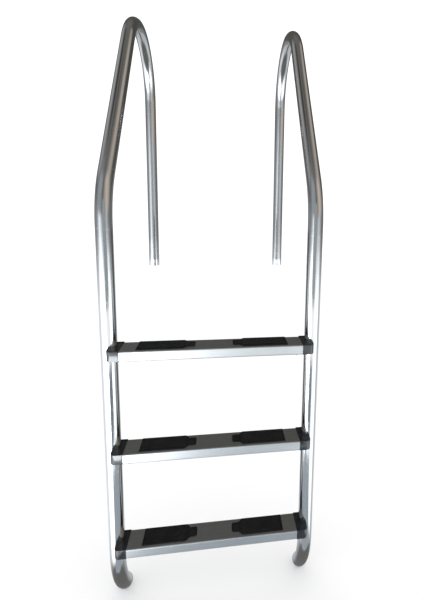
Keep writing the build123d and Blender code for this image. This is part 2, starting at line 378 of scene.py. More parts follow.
def water_film_group():
    """What pool water and hands leave: a cloudy film in soft patches, and small dried drops
    whose rims are paler than their middles."""
    group, inside, out = new_group(
        "water_film",
        [("Vector", "Vector", None), ("Patch", "Float", 9.0), ("Drop", "Float", 90.0)],
        [("Film", "Float"), ("Drops", "Float")],
    )
    vector = inside.outputs["Vector"]
    clouds = noise(group, vector, inside.outputs["Patch"], 4.0, Roughness=0.6)
    group.links.new(spread(group, clouds, FILM_PATCHES), out.inputs["Film"])
    cells = put(group, "TexVoronoi", None, Vector=vector, Scale=inside.outputs["Drop"])
    inner = spread(group, cells.outputs["Distance"], DROP_RIM_INSIDE)
    outer = spread(group, cells.outputs["Distance"], DROP_RIM_OUTSIDE)
    rim = maths(group, "MULTIPLY", inner, outer)
    some = spread(group, cells.outputs["Color"], DROPS_KEPT)
    group.links.new(maths(group, "MULTIPLY", rim, some), out.inputs["Drops"])
    return group


polish_lines = polish_lines_group()
water_film = water_film_group()

TUBE_STEEL = (0.600, 0.595, 0.585, 1.0)
TUBE_STEEL_DULL = (0.480, 0.478, 0.470, 1.0)
TUBE_ROUGHNESS = (0.095, 0.145)


def rail_finish():
    """Polished stainless: bright metal, hair lines along the tube, a slight unevenness left by
    bending and polishing, and a faint film of dried water."""
    material, tree, shader = new_finish("rail_polished_steel")
    uv = put(tree, "UVMap", {"uv_map": "UVMap"}).outputs[0]
    place = put(tree, "TexCoord").outputs["Object"]
    lines = put(tree, "Group", {"node_tree": polish_lines}, Vector=uv, Across=1400.0, Along=7.0)
    film = put(tree, "Group", {"node_tree": water_film}, Vector=place, Patch=7.0, Drop=75.0)
    dull = maths(tree, "MULTIPLY", lines.outputs["Tone"], 0.35)
    dull = plus_share(tree, dull, film.outputs["Film"], 0.25)
    colour = mix_colours(tree, dull, TUBE_STEEL, TUBE_STEEL_DULL)
    rough = spread(tree, lines.outputs["Tone"], (0.0, 1.0), TUBE_ROUGHNESS)
    rough = plus_share(tree, rough, film.outputs["Film"], 0.06)
    rough = plus_share(tree, rough, film.outputs["Drops"], 0.12)
    broad = bump_normal(tree, noise(tree, place, 16.0, 1.0), 0.35, 0.0010)
    hair = bump_normal(tree, lines.outputs["Height"], 0.16, 0.00002, Normal=broad)
    finish_surface(tree, shader, colour, rough, hair)
    shader.inputs["Metallic"].default_value = 1.0
    return material


rail_steel = rail_finish()
for side_name, side in SIDES:
    rail = rail_tube(f"{side_name}_rail_tube", side)
    rail.data.materials.append(rail_steel)
    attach(rail, "root")
    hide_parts(f"{side_name}_rail")


# ---- Foot plugs ----
# A moulded grey plastic plug closes each foot, pushed in by hand: a flange as wide as the tube
# with a dished face and a small gate mark in its middle, and a hollow stem inside the bore.

PLUG_FLANGE = 0.0030
PLUG_EDGE = 0.0012
PLUG_EDGE_RINGS = 5
PLUG_DISH = 0.0007
PLUG_DISH_RADIUS = 0.0135
PLUG_DISH_RAMP = 0.0004
PLUG_DISH_RINGS = 7
PLUG_GATE_RADIUS = 0.0016
PLUG_GATE_TOP_RADIUS = 0.00128
PLUG_GATE_HEIGHT = 0.0003
PLUG_STEM = 0.012
PLUG_WALL = 0.0025
PLUG_FIT = 0.0004
PLUG_SIDES = 72
PLUG_GAP = 1e-6
PLUG_GREY = (0.105, 0.108, 0.112, 1.0)
PLUG_GREY_PALE = (0.150, 0.152, 0.155, 1.0)
PLUG_WEAR = (0.4, 0.7)
PLUG_ROUGHNESS = (0.42, 0.62)


def plug_profile():
    """Distances beyond the tube's end and radii, from the gate mark in the middle of the face
    out over the flange's round edge, back along the stem and into its hollow. Round the dish
    the face rises by dish * (1 + cos a) / 2, and its radius grows evenly with a."""
    along, inward = quarter(PLUG_EDGE, PLUG_EDGE_RINGS)
    a = np.linspace(0, np.pi, PLUG_DISH_RINGS)
    stem = tube_radius - TUBE_WALL - PLUG_FIT
    dished = PLUG_FLANGE - PLUG_DISH
    distance = np.concatenate(
        [
            [dished + PLUG_GATE_HEIGHT, dished + PLUG_GATE_HEIGHT, dished],
            PLUG_FLANGE - PLUG_DISH * (1 + np.cos(a)) / 2,
            (PLUG_FLANGE - along)[::-1],
            [0.0, 0.0, -PLUG_STEM, -PLUG_STEM, 0.0, 0.0],
        ]
    )
    radius = np.concatenate(
        [
            [0.0, PLUG_GATE_TOP_RADIUS, PLUG_GATE_RADIUS],
            PLUG_DISH_RADIUS + a * PLUG_DISH_RAMP,
            (tube_radius - inward)[::-1],
            [tube_radius, stem, stem, stem - PLUG_WALL, stem - PLUG_WALL, 0.0],
        ]
    )
    return distance, radius


def close_poles(piece, gap):
    """Joins points that fall on each other and drops the faces that this leaves without area."""
    work = bmesh.new()
    work.from_mesh(piece.data)
    bmesh.ops.remove_doubles(work, verts=work.verts, dist=gap)
    bmesh.ops.dissolve_degenerate(work, edges=work.edges, dist=gap)
    work.to_mesh(piece.data)
    work.free()


def foot_plug(name, side):
    """The profile turned about the tube's own axis at the foot's end."""
    distance, radius = plug_profile()
    heading = rail_headings[0]
    outward = -np.array([math.cos(heading), math.sin(heading)])
    centres = rail_points[0] + distance[:, None] * outward
    points = rings_in_plane(rail_x, centres, np.full(len(radius), heading), radius, PLUG_SIDES)
    rows, columns = grid_quads(len(radius), PLUG_SIDES, close_columns=True)
    faces = rows * PLUG_SIDES + columns % PLUG_SIDES
    plug = build(name, points, faces[:, ::-1], side)
    close_poles(plug, PLUG_GAP)
    return plug


def plug_finish():
    """Matt grey polyethylene: a fine moulded grain, paler where it has been handled."""
    material, tree, shader = new_finish("plug_grey_plastic")
    place = put(tree, "TexCoord").outputs["Object"]
    grain = noise(tree, place, 2600.0, 2.0)
    patches = noise(tree, place, 60.0, 4.0)
    worn = spread(tree, patches, PLUG_WEAR)
    colour = mix_colours(tree, worn, PLUG_GREY, PLUG_GREY_PALE)
    rough = spread(tree, patches, NOISE_RANGE, PLUG_ROUGHNESS)
    finish_surface(tree, shader, colour, rough, bump_normal(tree, grain, 0.4, 0.00008))
    return material


plug_plastic = plug_finish()
for side_name, side in SIDES:
    plug = foot_plug(f"{side_name}_foot_plug_moulding", side)
    plug.data.materials.append(plug_plastic)
    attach(plug, "root")
    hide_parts(f"{side_name}_foot_plug")


# ---- Treads ----
# Each tread is folded from satin stainless sheet: a flat top, a front and a rear face with
# rounded folds, and a return lip under each. The brushed grain runs along the tread.

SHEET = 0.0012
FOLD_RADIUS = 0.0032
LIP = 0.011
FOLD_STEPS = 8
LIP_STEPS = 2
FACE_STEPS = 6
TOP_STEPS = 12
TREAD_STATIONS = 25
SHEET_STEEL = (0.560, 0.560, 0.555, 1.0)
SHEET_STEEL_DULL = (0.430, 0.430, 0.422, 1.0)
SHEET_ROUGHNESS = (0.34, 0.42)


def tread_sheet(name, node):
    """The folded section carried along X: a centreline of four quarter turns at the fold's
    middle radius, with the two skins half a sheet to each side of it."""
    low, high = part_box(node)
    fold = FOLD_RADIUS - SHEET / 2
    quarter_turn = (fold * math.pi / 2, -math.pi / 2, FOLD_STEPS)
    lip = (LIP - FOLD_RADIUS, 0.0, LIP_STEPS)
    face = (high.z - low.z - 2 * FOLD_RADIUS, 0.0, FACE_STEPS)
    top = (high.y - low.y - 2 * FOLD_RADIUS, 0.0, TOP_STEPS)
    runs = [lip, quarter_turn, face, quarter_turn, top, quarter_turn, face, quarter_turn, lip]
    line, headings, _ = bent_line((low.y + LIP, low.z + SHEET / 2), math.pi, runs)
    left_of_line = np.stack([-np.sin(headings), np.cos(headings)], 1) * SHEET / 2
    section = np.vstack([line + left_of_line, (line - left_of_line)[::-1]])
    xs = np.linspace(low.x, high.x, TREAD_STATIONS)
    count = len(section)
    points = np.empty((count, TREAD_STATIONS, 3))
    points[:, :, 0] = xs
    points[:, :, 1:] = section[:, None, :]
    rows, columns = grid_quads(count, TREAD_STATIONS, close_rows=True)
    skins = (rows % count) * TREAD_STATIONS + columns
    outer = np.arange(len(line) - 1)
    inner = count - 1 - outer
    ends = np.stack([outer, inner, inner - 1, outer + 1], 1) * TREAD_STATIONS
    faces = np.vstack([skins, ends[:, ::-1], ends + TREAD_STATIONS - 1])
    return build(name, points, faces, smooth_angle=30.0)


def tread_finish():
    """Satin sheet: brushed lines along X, slow streaks of tone and dried water."""
    material, tree, shader = new_finish("tread_brushed_steel")
    place = put(tree, "TexCoord").outputs["Object"]
    turned = put(tree, "Mapping", None, Vector=place, Rotation=(0.0, 0.0, math.pi / 2)).outputs[0]
    lines = put(tree, "Group", {"node_tree": polish_lines}, Vector=turned, Across=2600.0, Along=9.0)
    film = put(tree, "Group", {"node_tree": water_film}, Vector=place, Patch=14.0, Drop=110.0)
    dull = maths(tree, "MULTIPLY", lines.outputs["Tone"], 0.45)
    dull = plus_share(tree, dull, film.outputs["Film"], 0.35)
    colour = mix_colours(tree, dull, SHEET_STEEL, SHEET_STEEL_DULL)
    rough = spread(tree, lines.outputs["Tone"], (0.0, 1.0), SHEET_ROUGHNESS)
    rough = plus_share(tree, rough, film.outputs["Film"], 0.07)
    rough = plus_share(tree, rough, film.outputs["Drops"], 0.10)
    hair = bump_normal(tree, lines.outputs["Height"], 0.45, 0.00004)
    finish_surface(tree, shader, colour, rough, hair)
    shader.inputs["Metallic"].default_value = 1.0
    return material


tread_steel = tread_finish()
for level in LEVELS:
    tread = tread_sheet(f"{level}_tread_sheet", f"{level}_tread")
    tread.data.materials.append(tread_steel)
    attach(tread, "root")
    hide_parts(f"{level}_tread")


# ---- End caps ----
# Each tread end is a glossy black moulding: a block that seats on the tube's inner half, a jaw
# that passes in front of the tube, a raised stop along the rear and a collar at the tread's
# end. A hollow spigot plugs into the tread and hides the bolt.

CAP_SEAT_FIT = 0.0002
CAP_CORNER = 0.012
CAP_REAR_CORNER = 0.005
CAP_TOP_EDGE = 0.0016
CAP_SEAT_EDGE = 0.0005
CAP_BOTTOM_EDGE = 0.0008
CAP_RISE = 0.0008
STOP_WIDTH = 0.0040
STOP_EDGE = 0.0009
COLLAR_WIDTH = 0.0026
COLLAR_RISE = 0.0006
SPIGOT_LENGTH = 0.030
SPIGOT_FIT = 0.0002
SPIGOT_SKIN = SHEET + SPIGOT_FIT
SPIGOT_POCKET = 0.011
# How many points or rings each curve of the mesh has
CAP_CORNER_POINTS = 13
CAP_SEAT_POINTS = 37
CAP_REAR_POINTS = 9
CAP_RIM_RINGS = 5
STOP_CORNER_POINTS = 5
COLLAR_CORNER_POINTS = 7
COLLAR_SIDES = 16
SPIGOT_CORNER_POINTS = 4
# The least squared length of a bisector, which keeps a sharp corner's inset short
SHARPEST_CORNER = 0.25
# Shares of the stop's corner radius that round its top and its bottom
STOP_TOP_SHARE = 0.98
STOP_BOTTOM_SHARE = 0.4
CAP_BLACK = (0.0045, 0.0052, 0.0070, 1.0)
CAP_BLACK_WORN = (0.020, 0.021, 0.024, 1.0)
CAP_ROUGHNESS = 0.12
CAP_WORN_ROUGHNESS = 0.24
SCRATCH_CUT = (0.66, 0.72)
SCUFF_PATCHES = (0.45, 0.62)
SCRATCH_TURNS = (0.35, -0.9)


def arc(centre, radius, start, end, steps):
    """Points on an arc, in degrees anticlockwise from X."""
    a = np.radians(np.linspace(start, end, steps))
    return np.stack([centre[0] + radius * np.cos(a), centre[1] + radius * np.sin(a)], 1)


def cap_plan(tread_end, jaw_end, front, rear):
    """The cap from above, anticlockwise, with the rounding of its top edge at each point: along
    the front, round the jaw's corner, back to the tube, round the tube's seat, and home along
    the rear."""
    seat = tube_radius + CAP_SEAT_FIT
    corner = (jaw_end - CAP_CORNER, front + CAP_CORNER)
    rear_corner = (rail_x - CAP_REAR_CORNER, rear - CAP_REAR_CORNER)
    pieces = [
        (np.array([(tread_end, front), (tread_end + COLLAR_WIDTH, front)]), CAP_TOP_EDGE),
        (arc(corner, CAP_CORNER, -90, 0, CAP_CORNER_POINTS), CAP_TOP_EDGE),
        (np.array([(jaw_end, riser_y - seat)]), CAP_SEAT_EDGE),
        (arc((rail_x, riser_y), seat, -90, -270, CAP_SEAT_POINTS), CAP_SEAT_EDGE),
        (arc(rear_corner, CAP_REAR_CORNER, 0, 90, CAP_REAR_POINTS), CAP_TOP_EDGE),
        (np.array([(tread_end, rear)]), CAP_TOP_EDGE),
    ]
    outline = np.vstack([points for points, edge in pieces])
    edges = np.concatenate([np.full(len(points), edge) for points, edge in pieces])
    return outline, edges


def rounded_box(low_a, low_b, high_a, high_b, radius, count):
    """An anticlockwise rectangle with round corners of this many points, in the plane of a and
    b."""
    corners = (
        (low_a + radius, low_b + radius, 180),
        (high_a - radius, low_b + radius, 270),
        (high_a - radius, high_b - radius, 0),
        (low_a + radius, high_b - radius, 90),
    )
    return np.vstack([arc((a, b), radius, turn, turn + 90, count) for a, b, turn in corners])


def inset_of(outline):
    """How each point of a closed anticlockwise outline moves when it shrinks by one: along the
    bisector of its two sides' inward normals, n, by n / |n|^2."""
    following = np.roll(outline, -1, axis=0) - outline
    normals = np.stack([-following[:, 1], following[:, 0]], 1)
    normals /= np.linalg.norm(normals, axis=1)[:, None]
    bisector = (normals + np.roll(normals, 1, axis=0)) / 2
    return bisector / np.maximum((bisector**2).sum(1), SHARPEST_CORNER)[:, None]


def moulded_block(outline, edges, low_z, high_z, low_edge):
    """An upright block with rounded rims: ring k is the outline moved inwards by
    edge * (1 - cos a) and up or down by edge * (1 - sin a), and flat faces close both ends."""
    inset = inset_of(outline)
    along, inward = quarter(1.0, CAP_RIM_RINGS)
    rings = []
    for rise, move in zip(along[::-1], inward[::-1]):
        z = low_z + low_edge * rise
        rings.append(np.column_stack([outline + inset * low_edge * move, np.full(len(outline), z)]))
    for rise, move in zip(along, inward):
        z = high_z - edges * rise
        rings.append(np.column_stack([outline + inset * (edges * move)[:, None], z]))
    points = np.stack(rings)
    count = len(outline)
    rows, columns = grid_quads(len(rings), count, close_columns=True)
    walls = rows * count + columns % count
    bottom = np.arange(count)[::-1]
    top = (len(rings) - 1) * count + np.arange(count)
    return points.reshape(-1, 3), [*walls, bottom, top]


def bar_between(low, high, edge):
    """An upright block with square plan corners rounded by its edge."""
    outline = rounded_box(low[0], low[1], high[0], high[1], edge, STOP_CORNER_POINTS)
    top_edges = np.full(len(outline), edge * STOP_TOP_SHARE)
    return moulded_block(outline, top_edges, low[2], high[2], edge * STOP_BOTTOM_SHARE)


def collar(tread_end, low, high):
    """A low round bead round the tread's end: the section's outline moved out by
    rise * sin a, while X moves across the collar's width by (1 - cos a) / 2."""
    outline = rounded_box(low.y, low.z, high.y, high.z, FOLD_RADIUS, COLLAR_CORNER_POINTS)
    inset = inset_of(outline)
    a = np.linspace(0, 2 * np.pi, COLLAR_SIDES, endpoint=False)
    x = tread_end + COLLAR_WIDTH * (1 - np.cos(a)) / 2
    rise = COLLAR_RISE * np.sin(a)
    section = outline[:, None, :] - inset[:, None, :] * rise[None, :, None]
    across = np.broadcast_to(x[None, :, None], (*section.shape[:2], 1))
    points = np.concatenate([across, section], -1)
    rows, columns = grid_quads(len(outline), len(a), close_rows=True, close_columns=True)
    return points.reshape(-1, 3), list((rows % len(outline)) * len(a) + columns % len(a))


def spigot(tread_end, low, high):
    """The hollow part inside the tread: a rounded section with a spanner pocket cut up into it
    from below, carried along X and closed at both ends."""
    section = rounded_box(
        low.y + SPIGOT_SKIN,
        low.z + SPIGOT_SKIN,
        high.y - SPIGOT_SKIN,
        high.z - SPIGOT_SKIN,
        FOLD_RADIUS - SPIGOT_SKIN,
        SPIGOT_CORNER_POINTS,
    )
    roof = (low.z + high.z) / 2 + SPIGOT_POCKET - CAP_RISE
    floor = low.z + SPIGOT_SKIN
    pocket = np.array(
        [
            (riser_y - SPIGOT_POCKET, floor),
            (riser_y - SPIGOT_POCKET, roof),
            (riser_y + SPIGOT_POCKET, roof),
            (riser_y + SPIGOT_POCKET, floor),
        ]
    )
    outline = np.vstack([section[:SPIGOT_CORNER_POINTS], pocket, section[SPIGOT_CORNER_POINTS:]])
    xs = (tread_end - SPIGOT_LENGTH, tread_end)
    points = np.vstack([np.column_stack([np.full(len(outline), x), outline]) for x in xs])
    count = len(outline)
    rows, columns = grid_quads(2, count, close_columns=True)
    walls = rows * count + columns % count
    return points, [*walls[:, ::-1], np.arange(count)[::-1], count + np.arange(count)]


def end_cap(name, level, side):
    """All the mouldings of one cap as one piece."""
    cap_low, cap_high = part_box(f"{level}_right_end_cap")
    tread_low, tread_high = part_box(f"{level}_tread")
    tread_end = tread_high.x
    outline, edges = cap_plan(tread_end, cap_high.x, cap_low.y, cap_high.y)
    top = tread_high.z + CAP_RISE
    stop_front = cap_high.y - CAP_TOP_EDGE - STOP_WIDTH
    stop_end = rail_x - CAP_REAR_CORNER - CAP_TOP_EDGE
    parts = [
        moulded_block(outline, edges, cap_low.z, top, CAP_BOTTOM_EDGE),
        bar_between(
            (tread_end, stop_front, tread_high.z),
            (stop_end, cap_high.y - CAP_TOP_EDGE, cap_high.z),
            STOP_EDGE,
        ),
        collar(tread_end, tread_low, tread_high),
        spigot(tread_end, tread_low, tread_high),
    ]
    points, faces, count = [], [], 0
    for part_points, part_faces in parts:
        points.append(part_points)
        faces += [np.asarray(face) + count for face in part_faces]
        count += len(part_points)
    return build(name, np.vstack(points), faces, side, smooth_angle=35.0)


def scuffs_group():
    """Fine straight scratches in two directions: noise drawn out along a turned axis and cut
    to thin lines, in patches."""
    group, inside, out = new_group(
        "scuffs",
        [("Vector", "Vector", None), ("Scale", "Float", 60.0), ("Amount", "Float", 0.5)],
        [("Mask", "Float")],
    )
    vector = inside.outputs["Vector"]
    lines = []
    for turn in SCRATCH_TURNS:
        stretch = {"Rotation": (0.0, 0.0, turn), "Scale": (1.0, 14.0, 6.0)}
        turned = put(group, "Mapping", None, Vector=vector, **stretch).outputs[0]
        streaks = noise(group, turned, inside.outputs["Scale"], 2.0)
        lines.append(spread(group, streaks, SCRATCH_CUT))
    both = maths(group, "MAXIMUM", lines[0], lines[1])
    worn = spread(group, noise(group, vector, 18.0, 2.0), SCUFF_PATCHES)
    cut = maths(group, "MULTIPLY", both, worn)
    group.links.new(maths(group, "MULTIPLY", cut, inside.outputs["Amount"]), out.inputs["Mask"])
    return group


scuffs = scuffs_group()


def cap_finish():
    """Glossy black plastic: near black, a faint orange-peel skin, fine scratches and a film of
    dried water that greys it a little."""
    material, tree, shader = new_finish("cap_black_plastic")
    place = put(tree, "TexCoord").outputs["Object"]
    film = put(tree, "Group", {"node_tree": water_film}, Vector=place, Patch=40.0, Drop=160.0)
    marks = put(tree, "Group", {"node_tree": scuffs}, Vector=place, Scale=90.0, Amount=0.6)
    worn = plus_share(tree, marks.outputs["Mask"], film.outputs["Film"], 0.30)
    colour = mix_colours(tree, worn, CAP_BLACK, CAP_BLACK_WORN)
    rough = plus_share(tree, CAP_ROUGHNESS, worn, CAP_WORN_ROUGHNESS)
    peel = bump_normal(tree, noise(tree, place, 420.0, 2.0), 0.25, 0.00010)
    finish_surface(tree, shader, colour, rough, peel)
    shader.inputs["IOR"].default_value = 1.65
    return material


cap_plastic = cap_finish()
for level in LEVELS:
    for side_name, side in SIDES:
        cap = end_cap(f"{level}_{side_name}_cap_moulding", level, side)
        cap.data.materials.append(cap_plastic)
        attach(cap, "root")
        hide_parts(f"{level}_{side_name}_end_cap")


# ---- Tread pads ----
# Two non-slip mats of black rubber lie on each tread, moulded with slanted round-topped ribs
# inside a plain border, toothed towards the rail and drawn in to a tongue at the inner end,
# where the ribs slant the other way. Pegs under the mat snap through the tread.

PAD_EDGE = 0.0007
PAD_BORDER = 0.0024
PAD_BASE = 0.0014
PAD_FADE = 0.0008
PAD_RIM_SHARE = 0.45
PAD_TEETH = 4
TOOTH_DEPTH = 0.0025
TOOTH_STEEPNESS = 40
TEETH_FROM = 0.9
TEETH_BLEND = 0.1
TONGUE_LENGTH = 0.018
TONGUE_SHOULDER = 0.009
TONGUE_INSET = 0.011
TONGUE_CORNER = 0.006
RIB_PITCH = 0.0085
RIB_SLANT = 0.9
RIB_FLOOR = 0.22
RIB_FLANK = 0.5
PAD_CELL = 0.00055
PEG_SIDES = 20
PEG_RADIUS = 0.0030
PEG_HEAD_RADIUS = 0.0045
PEG_HEAD = 0.0016
# Shares of the peg head's radius and height, from its flat upper side to its round end
PEG_HEAD_SHAPE = ((1.0, 0.0), (1.0, 0.5), (0.86, 0.85), (0.5, 1.0))
PEG_COUNT = 3
PEG_INSET = 0.028
RUBBER_BLACK = (0.0030, 0.0032, 0.0038, 1.0)
RUBBER_DUSTY = (0.030, 0.030, 0.030, 1.0)
RUBBER_ROUGHNESS = (0.34, 0.52)
PAD_GAP = 2e-6


def pad_half_width(x, half):
    """Half the mat's width at a distance x from its inner end: a round-cornered tongue, a
    slanted shoulder and then the full width."""
    tongue = half - TONGUE_INSET
    corner = np.clip(1 - x / TONGUE_CORNER, 0, 1)
    tongue_part = tongue - TONGUE_CORNER * (1 - np.sqrt(1 - corner**2))
    shoulder = np.clip((x - TONGUE_LENGTH) / TONGUE_SHOULDER, 0, 1)
    return tongue_part + shoulder * TONGUE_INSET


def rib_height(x, y):
    """Rounded ribs, from 0 to 1: w = (1 + cos(2 pi d / pitch)) / 2 of the distance d across
    them, cut off at the gutter's level and smoothed by w^2 * (3 - 2w). The body's ribs slant
    one way and the tongue's the other, and a plain gutter parts them."""
    gutter_x = TONGUE_LENGTH + TONGUE_SHOULDER / 2
    across = np.where(x > gutter_x, x + RIB_SLANT * y, x - RIB_SLANT * y)
    wave = 0.5 + 0.5 * np.cos(2 * np.pi * across / RIB_PITCH)
    rib = np.clip((wave - RIB_FLOOR) / RIB_FLANK, 0, 1)
    rib = rib * rib * (3 - 2 * rib)
    return rib * np.clip((np.abs(x - gutter_x) - PAD_FADE) / PAD_FADE, 0, 1)


def pad_top(length, half, thickness):
    """The mat's upper face as a grid of length u and width v, measured from its inner end, its
    middle and the tread. Its plan is x = u * length, less the tooth near the outer end, and
    y = v * half(x). The height is the base plus the ribs inside a low plain rim, and it falls
    round the edge by edge * (1 - sqrt(1 - d^2)). Gives x, y, z and each point's share of a
    full rib."""
    u = np.linspace(0, 1, int(length / PAD_CELL))
    v = np.linspace(-1, 1, int(2 * half / PAD_CELL))
    grid_u, grid_v = np.meshgrid(u, v, indexing="ij")
    phase = np.mod((grid_v + 1) / 2 * PAD_TEETH, 1.0)
    last_tooth = np.clip((1 - grid_v) * TOOTH_STEEPNESS, 0, 1)
    tooth = TOOTH_DEPTH * np.clip(2 * phase - 1, 0, 1) * last_tooth
    near_end = np.clip((grid_u - TEETH_FROM) / TEETH_BLEND, 0, 1)
    x = grid_u * length - tooth * near_end
    width = pad_half_width(grid_u * length, half)
    y = grid_v * width
    to_side = (1 - np.abs(grid_v)) * width
    to_end = np.minimum(grid_u * length, length - tooth - x)
    to_edge = np.minimum(to_side, to_end)
    rib = rib_height(x, y) * np.clip((to_edge - PAD_BORDER) / PAD_FADE, 0, 1)
    rim = PAD_RIM_SHARE * np.clip((PAD_BORDER - to_edge) / PAD_FADE, 0, 1)
    drop = np.clip(1 - to_edge / PAD_EDGE, 0, 1)
    rise = (thickness - PAD_BASE) * np.maximum(rib, rim)
    z = PAD_BASE + rise - PAD_EDGE * (1 - np.sqrt(1 - drop**2))
    return x, y, z, rib


def pad_mat(name, node, side):
    """The upper face with a hem of points that drops to the tread, one flat face under it, and
    its pegs. The UV map holds each point's x and its share of a full rib."""
    low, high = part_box(node)
    step_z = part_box(node.split("_")[0] + "_tread")[1].z
    x, y, z, rib = pad_top(high.x - low.x, (high.y - low.y) / 2, high.z - step_z)
    top = np.stack([low.x + x, (high.y + low.y) / 2 + y, step_z + z], -1)
    hem = np.pad(top, ((1, 1), (1, 1), (0, 0)), mode="edge")
    hem[0, :, 2] = hem[-1, :, 2] = hem[:, 0, 2] = hem[:, -1, 2] = step_z
    rows, columns = hem.shape[:2]
    face_rows, face_columns = grid_quads(rows, columns)
    under = np.concatenate(
        [
            np.arange(columns),
            np.arange(1, rows) * columns + columns - 1,
            (rows - 1) * columns + np.arange(columns - 2, -1, -1),
            np.arange(rows - 2, 0, -1) * columns,
        ]
    )
    faces = [*(face_rows * columns + face_columns)[:, ::-1], under]
    points = [hem.reshape(-1, 3)]
    marks = [np.pad(np.stack([x, rib], -1), ((1, 1), (1, 1), (0, 0))).reshape(-1, 2)]
    total = len(points[0])
    for peg_points, peg_faces in pad_pegs(low, high, step_z):
        points.append(peg_points)
        marks.append(np.zeros((len(peg_points), 2)))
        faces += [np.asarray(face) + total for face in peg_faces]
        total += len(peg_points)
    loops = np.concatenate([np.asarray(face) for face in faces])
    piece = build(name, np.vstack(points), faces, side, np.vstack(marks)[loops], smooth_angle=50.0)
    close_poles(piece, PAD_GAP)
    return piece


def pad_pegs(low, high, step_z):
    """The pegs under a mat: a shank through the sheet and a wider round head below it."""
    middle_y = (low.y + high.y) / 2
    a = np.linspace(0, 2 * np.pi, PEG_SIDES, endpoint=False)
    shank = [(PEG_RADIUS, 0.0), (PEG_RADIUS, -SHEET)]
    head = [(PEG_HEAD_RADIUS * r, -SHEET - PEG_HEAD * h) for r, h in PEG_HEAD_SHAPE]
    profile = np.array(shank + head)
    pegs = []
    for x in np.linspace(low.x + PEG_INSET, high.x - PEG_INSET, PEG_COUNT):
        radius, z = profile[:, :1], profile[:, 1:]
        turned = [x + radius * np.cos(a), middle_y + radius * np.sin(a), step_z + z + 0 * a]
        points = np.stack(turned, -1).reshape(-1, 3)
        rows, columns = grid_quads(len(profile), PEG_SIDES, close_columns=True)
        walls = (rows * PEG_SIDES + columns % PEG_SIDES)[:, ::-1]
        foot = (len(profile) - 1) * PEG_SIDES + np.arange(PEG_SIDES)[::-1]
        pegs.append((points, [*walls, np.arange(PEG_SIDES), foot]))
    return pegs


def pad_finish():
    """Black rubber: soft sheen, a fine grain, a little dust, and greyer tops to the ribs where
    feet rub them. The UV map's second value is a point's height, from gutter to rib top."""
    material, tree, shader = new_finish("pad_black_rubber")
    place = put(tree, "TexCoord").outputs["Object"]
    grain = noise(tree, place, 1800.0, 3.0)
    dust = noise(tree, place, 55.0, 6.0, Roughness=0.7)
    marks = put(tree, "Group", {"node_tree": scuffs}, Vector=place, Scale=70.0, Amount=0.35)
    dusty = spread(tree, dust, (0.45, 0.8), (0.0, 0.3))
    uv = put(tree, "UVMap", {"uv_map": "UVMap"}).outputs[0]
    rib = put(tree, "SeparateXYZ", None, Vector=uv).outputs["Y"]
    tops = spread(tree, rib, (0.75, 1.0), (0.0, 0.40))
    rubbed = maths(tree, "MULTIPLY", tops, spread(tree, dust, (0.35, 0.65), (0.4, 1.0)))
    worn = maths(tree, "ADD", maths(tree, "ADD", dusty, marks.outputs["Mask"]), rubbed)
    colour = mix_colours(tree, worn, RUBBER_BLACK, RUBBER_DUSTY)
    rough = spread(tree, dust, NOISE_RANGE, RUBBER_ROUGHNESS)
    finish_surface(tree, shader, colour, rough, bump_normal(tree, grain, 0.5, 0.00008))
    shader.inputs["Specular IOR Level"].default_value = 0.28
    return material


pad_rubber = pad_finish()
for level in LEVELS:
    for side_name, side in SIDES:
        mat = pad_mat(f"{level}_{side_name}_pad_mat", f"{level}_right_pad", side)
        mat.data.materials.append(pad_rubber)
        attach(mat, "root")
        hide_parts(f"{level}_{side_name}_pad")


# ---- Fasteners ----
# The bolts, washers, threaded inserts and cap screws are bought-in stainless parts, turned and
# rolled, and duller than the rails.

FASTENER_STEEL = (0.520, 0.515, 0.505, 1.0)
FASTENER_STEEL_DULL = (0.330, 0.325, 0.315, 1.0)
FASTENER_ROUGHNESS = (0.30, 0.42)


def fastener_finish():
    """Machined stainless: short tool marks, uneven dullness and a little grime."""
    material, tree, shader = new_finish("fastener_machined_steel")
    place = put(tree, "TexCoord").outputs["Object"]
    lines = put(tree, "Group", {"node_tree": polish_lines}, Vector=place, Across=3200.0, Along=420.0)
    film = put(tree, "Group", {"node_tree": water_film}, Vector=place, Patch=90.0, Drop=400.0)
    dull = maths(tree, "ADD", maths(tree, "MULTIPLY", film.outputs["Film"], 0.7), 0.15)
    colour = mix_colours(tree, dull, FASTENER_STEEL, FASTENER_STEEL_DULL)
    rough = spread(tree, lines.outputs["Tone"], (0.0, 1.0), FASTENER_ROUGHNESS)
    tool_marks = bump_normal(tree, lines.outputs["Height"], 0.4, 0.00004)
    finish_surface(tree, shader, colour, rough, tool_marks)
    shader.inputs["Metallic"].default_value = 1.0
    return material


fastener_steel = fastener_finish()
for node in ("tread_bolts", "bolt_washers", "rail_inserts", "cap_screws"):
    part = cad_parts[node]
    part.data.materials.clear()
    part.data.materials.append(fastener_steel)


# ---- Studio ----
# A pale floor in a white room. Polished steel shows nothing but its surroundings, so mirrors
# see a room of their own: a bright low band broken by dim uprights, a grey floor, a darker
# upper part with one warm and one cool wall, panels where someone stands in front and where
# the floor is dark or sunlit, and a dark upright panel behind the treads.

FLOOR_SPAN = 12.0
FLOOR_WHITE = (0.90, 0.90, 0.90, 1.0)
ROOM_WHITE = 1.18
